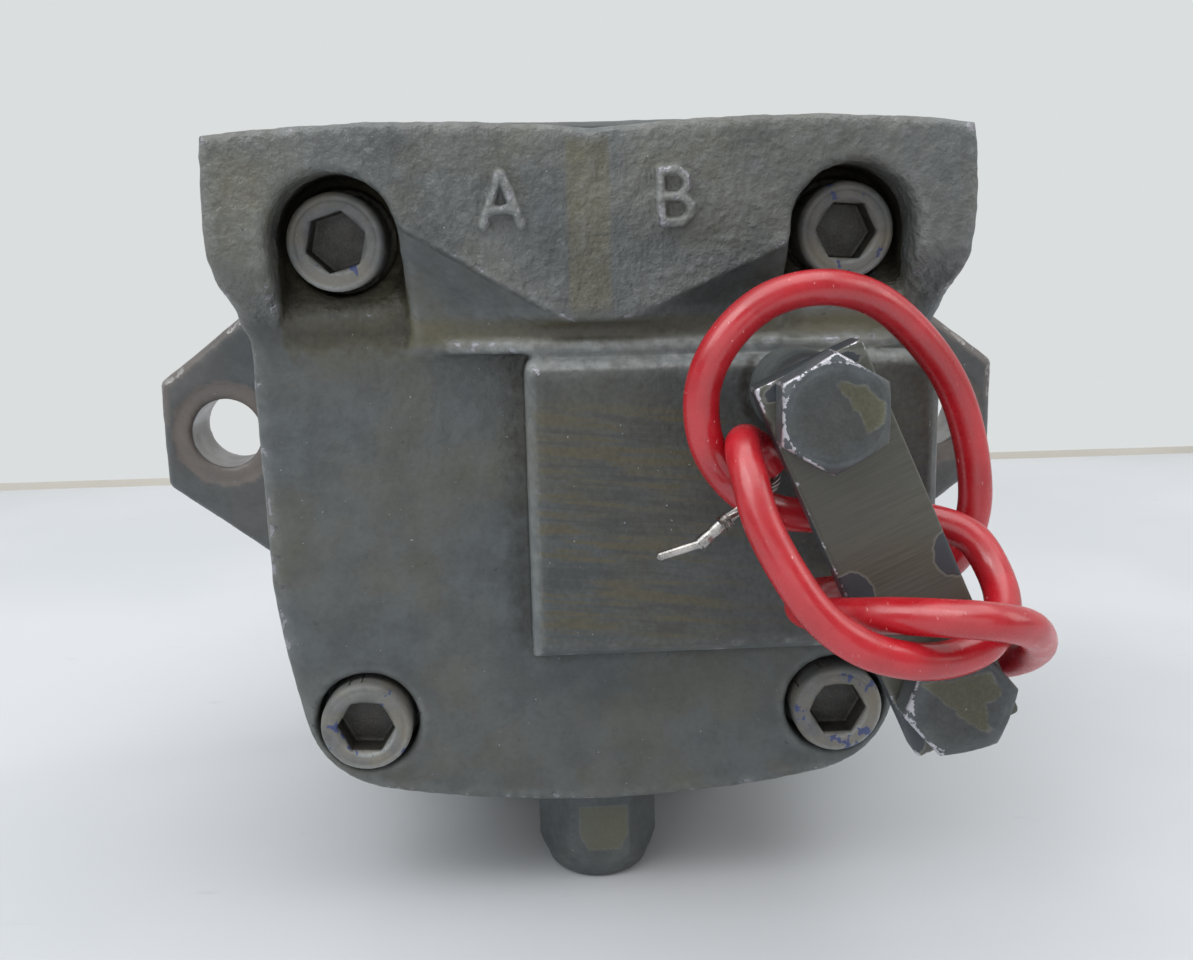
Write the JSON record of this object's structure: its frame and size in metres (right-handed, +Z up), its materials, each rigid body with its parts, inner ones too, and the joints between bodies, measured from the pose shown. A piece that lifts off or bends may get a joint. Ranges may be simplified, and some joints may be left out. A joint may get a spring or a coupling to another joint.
{
  "type": "hydraulic motor",
  "caption": "Vane-type hydraulic motor with a two-bolt mounting flange, ports on the rear cap and a swivelling strap arm that a red lead is tied round.",
  "frame": {"origin": "bottom centre of the motor as it stands on its drain plug and foot, on the surface it stands on", "axes": "+Z up, +Y along the output shaft towards its free end, +X to the right seen from the rear cap"},
  "size_m": [0.213, 0.2134, 0.1598],
  "materials": {
    "casting_paint": "worn blue-grey paint over an olive primer on sand-cast iron",
    "fastener_paint": "painted over with the motor, chipped on the corners",
    "arm_paint": "brushed olive-grey bar steel with patches of paint",
    "bright_steel": "ground steel",
    "hard_steel": "hardened and ground",
    "bronze": "sintered bronze",
    "copper": "annealed copper",
    "rubber": "nitrile rubber",
    "red_jacket": "soft glossy red cable jacket",
    "nickel": "nickel-plated crimped pin"
  },
  "bodies": {
    "housing": {"rear_cap": "casting_paint", "flange_housing": "casting_paint", "cap_screw_1": "fastener_paint", "cap_screw_2": "fastener_paint", "cap_screw_3": "fastener_paint", "cap_screw_4": "fastener_paint", "drain_plug": "fastener_paint", "drain_plug_washer": "copper", "cap_o_ring": "rubber", "rear_port_plate": "hard_steel", "cam_ring": "hard_steel", "front_port_plate": "hard_steel", "dowel_left": "bright_steel", "dowel_right": "bright_steel", "bearing_outer_race": "hard_steel", "shaft_seal": "rubber", "rear_bush": "bronze", "arm_pivot_bolt": "fastener_paint", "arm_spacer": "fastener_paint"},
    "rotating_group": {"output_shaft": "bright_steel", "shaft_key": "bright_steel", "rotor": "hard_steel", "vane_1": "bright_steel", "vane_2": "bright_steel", "vane_3": "bright_steel", "vane_4": "bright_steel", "vane_5": "bright_steel", "vane_6": "bright_steel", "vane_7": "bright_steel", "vane_8": "bright_steel", "vane_9": "bright_steel", "vane_10": "bright_steel", "bearing_inner_race": "hard_steel"},
    "bearing_cage": {"bearing_balls_and_cage": "bright_steel"},
    "arm": {"arm_strap": "arm_paint", "arm_end_bolt": "fastener_paint", "red_lead": "red_jacket", "lead_pin_1": "nickel", "lead_pin_2": "nickel"}
  },
  "joints": [
    {"name": "shaft_spin", "type": "hinge", "parent": "housing", "child": "rotating_group", "pos_m": [0, 0.0029, 0.088], "axis": [0, 1, 0], "continuous": true},
    {"name": "cage_spin", "type": "hinge", "parent": "housing", "child": "bearing_cage", "pos_m": [0, 0.0369, 0.088], "axis": [0, 1, 0], "continuous": true},
    {"name": "arm_swing", "type": "hinge", "parent": "housing", "child": "arm", "pos_m": [0.0352, -0.0901, 0.107], "axis": [0, 1, 0], "range_deg": [-66, 114]}
  ],
  "couplings": [
    {"joint": "cage_spin", "follows": "shaft_spin", "ratio": 0.42}
  ]
}
